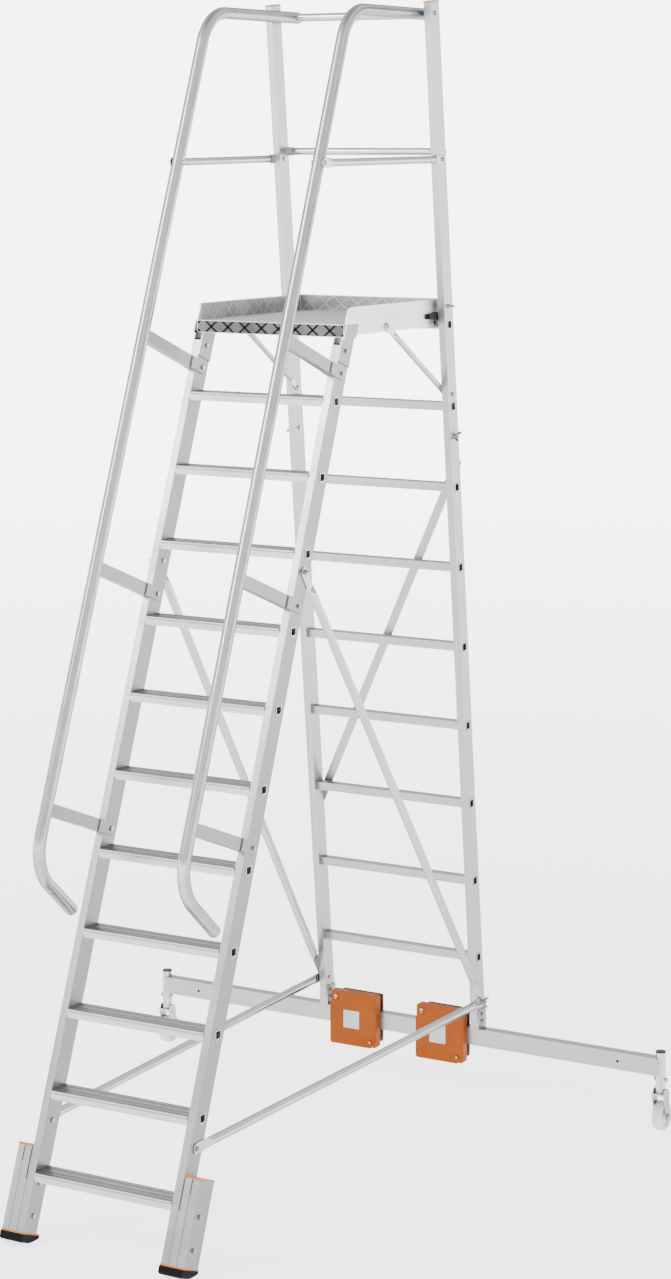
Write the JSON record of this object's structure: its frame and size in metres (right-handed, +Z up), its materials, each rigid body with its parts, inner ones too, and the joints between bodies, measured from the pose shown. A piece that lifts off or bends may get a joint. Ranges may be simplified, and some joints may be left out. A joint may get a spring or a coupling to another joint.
{
  "type": "mobile ladder stand",
  "caption": "Mobile ladder stand: stair of ribbed treads with handrails up to a railed deck, tall rear frame and a wide rear beam on swivel castors.",
  "frame": {"origin": "on the floor, under the middle of the stand's bounding box", "axes": "+Z up, the climber comes from -Y facing +Y, +X to the climber's right"},
  "size_m": [2.06, 2.024, 3.8242],
  "materials": {
    "stile_alloy": "satin extruded",
    "tread_alloy": "ribbed, satin",
    "tube_alloy": "bright drawn tube",
    "deck_plate": "satin, patterned plate",
    "orange_plastic": "satin",
    "black_plastic": "satin",
    "shoe_rubber": "matte",
    "ballast_paint": "satin",
    "clamp_paint": "satin",
    "zinc_steel": "zinc plated",
    "wheel_plastic": "polyamide, satin",
    "plug_plastic": "moulded"
  },
  "bodies": {
    "stand": {"front_stile_left": "stile_alloy", "front_stile_right": "stile_alloy", "tread_1": "tread_alloy", "tread_2": "tread_alloy", "tread_3": "tread_alloy", "tread_4": "tread_alloy", "tread_5": "tread_alloy", "tread_6": "tread_alloy", "tread_7": "tread_alloy", "tread_8": "tread_alloy", "tread_9": "tread_alloy", "tread_10": "tread_alloy", "tread_11": "tread_alloy", "rear_stile_left": "stile_alloy", "rear_stile_right": "stile_alloy", "rear_rungs": "stile_alloy", "post_caps": "orange_plastic", "rear_diagonal_bar": "stile_alloy", "foot_sleeve_left": "stile_alloy", "foot_sleeve_right": "stile_alloy", "foot_trims": "orange_plastic", "foot_shoe_left": "shoe_rubber", "foot_shoe_right": "shoe_rubber", "deck": "deck_plate", "deck_stiffeners": "stile_alloy", "deck_side_left": "deck_plate", "deck_side_right": "deck_plate", "deck_back_board": "deck_plate", "deck_cheeks": "stile_alloy", "deck_struts": "tube_alloy", "handrail_left": "tube_alloy", "handrail_right": "tube_alloy", "handrail_brackets": "stile_alloy", "top_crossbar": "tube_alloy", "mid_rails": "tube_alloy", "low_braces": "tube_alloy", "diagonal_braces": "tube_alloy", "traverse_beam": "stile_alloy", "stile_sockets": "stile_alloy", "castor_tubes": "stile_alloy", "castor_plugs": "plug_plastic", "castor_caps": "black_plastic", "ballast_left": "ballast_paint", "ballast_right": "ballast_paint", "ballast_clamps": "clamp_paint", "fixings": "zinc_steel"},
    "castor_fork_left": {"fork_left": "zinc_steel", "axle_left": "zinc_steel"},
    "castor_wheel_left": {"wheel_left": "wheel_plastic"},
    "latch_left": {"latch_left": "black_plastic"},
    "castor_fork_right": {"fork_right": "zinc_steel", "axle_right": "zinc_steel"},
    "castor_wheel_right": {"wheel_right": "wheel_plastic"},
    "latch_right": {"latch_right": "black_plastic"},
    "wing_nut_diagonal_left": {"wing_nut_diagonal_left": "zinc_steel"},
    "wing_nut_diagonal_right": {"wing_nut_diagonal_right": "zinc_steel"},
    "wing_nut_brace_left": {"wing_nut_brace_left": "zinc_steel"},
    "wing_nut_brace_right": {"wing_nut_brace_right": "zinc_steel"},
    "wing_nut_post_left": {"wing_nut_post_left": "zinc_steel"},
    "wing_nut_post_right": {"wing_nut_post_right": "zinc_steel"}
  },
  "joints": [
    {"name": "swivel_left", "type": "hinge", "parent": "stand", "child": "castor_fork_left", "pos_m": [-1, 0.95001, 0.14], "axis": [0, 0, 1], "continuous": true},
    {"name": "wheel_spin_left", "type": "hinge", "parent": "castor_fork_left", "child": "castor_wheel_left", "pos_m": [-1, 0.96201, 0.05], "axis": [1, 0, 0], "continuous": true},
    {"name": "latch_pivot_left", "type": "hinge", "parent": "stand", "child": "latch_left", "pos_m": [-0.287, 0.59401, 2.773], "axis": [1, 0, 0], "range_deg": [0, 50]},
    {"name": "swivel_right", "type": "hinge", "parent": "stand", "child": "castor_fork_right", "pos_m": [1, 0.95001, 0.14], "axis": [0, 0, 1], "continuous": true},
    {"name": "wheel_spin_right", "type": "hinge", "parent": "castor_fork_right", "child": "castor_wheel_right", "pos_m": [1, 0.96201, 0.05], "axis": [1, 0, 0], "continuous": true},
    {"name": "latch_pivot_right", "type": "hinge", "parent": "stand", "child": "latch_right", "pos_m": [0.287, 0.59401, 2.773], "axis": [1, 0, 0], "range_deg": [0, 50]},
    {"name": "turn_diagonal_left", "type": "hinge", "parent": "stand", "child": "wing_nut_diagonal_left", "pos_m": [-0.285, -0.20571, 2.01187], "axis": [1, 0, 0], "continuous": true},
    {"name": "turn_diagonal_right", "type": "hinge", "parent": "stand", "child": "wing_nut_diagonal_right", "pos_m": [0.285, -0.20571, 2.01187], "axis": [1, 0, 0], "continuous": true},
    {"name": "turn_brace_left", "type": "hinge", "parent": "stand", "child": "wing_nut_brace_left", "pos_m": [-0.33, 0.9387, 0.35306], "axis": [1, 0, 0], "continuous": true},
    {"name": "turn_brace_right", "type": "hinge", "parent": "stand", "child": "wing_nut_brace_right", "pos_m": [0.33, 0.9387, 0.35306], "axis": [1, 0, 0], "continuous": true},
    {"name": "turn_post_left", "type": "hinge", "parent": "stand", "child": "wing_nut_post_left", "pos_m": [-0.324, 0.72756, 2.36199], "axis": [1, 0, 0], "continuous": true},
    {"name": "turn_post_right", "type": "hinge", "parent": "stand", "child": "wing_nut_post_right", "pos_m": [0.324, 0.72756, 2.36199], "axis": [1, 0, 0], "continuous": true}
  ]
}
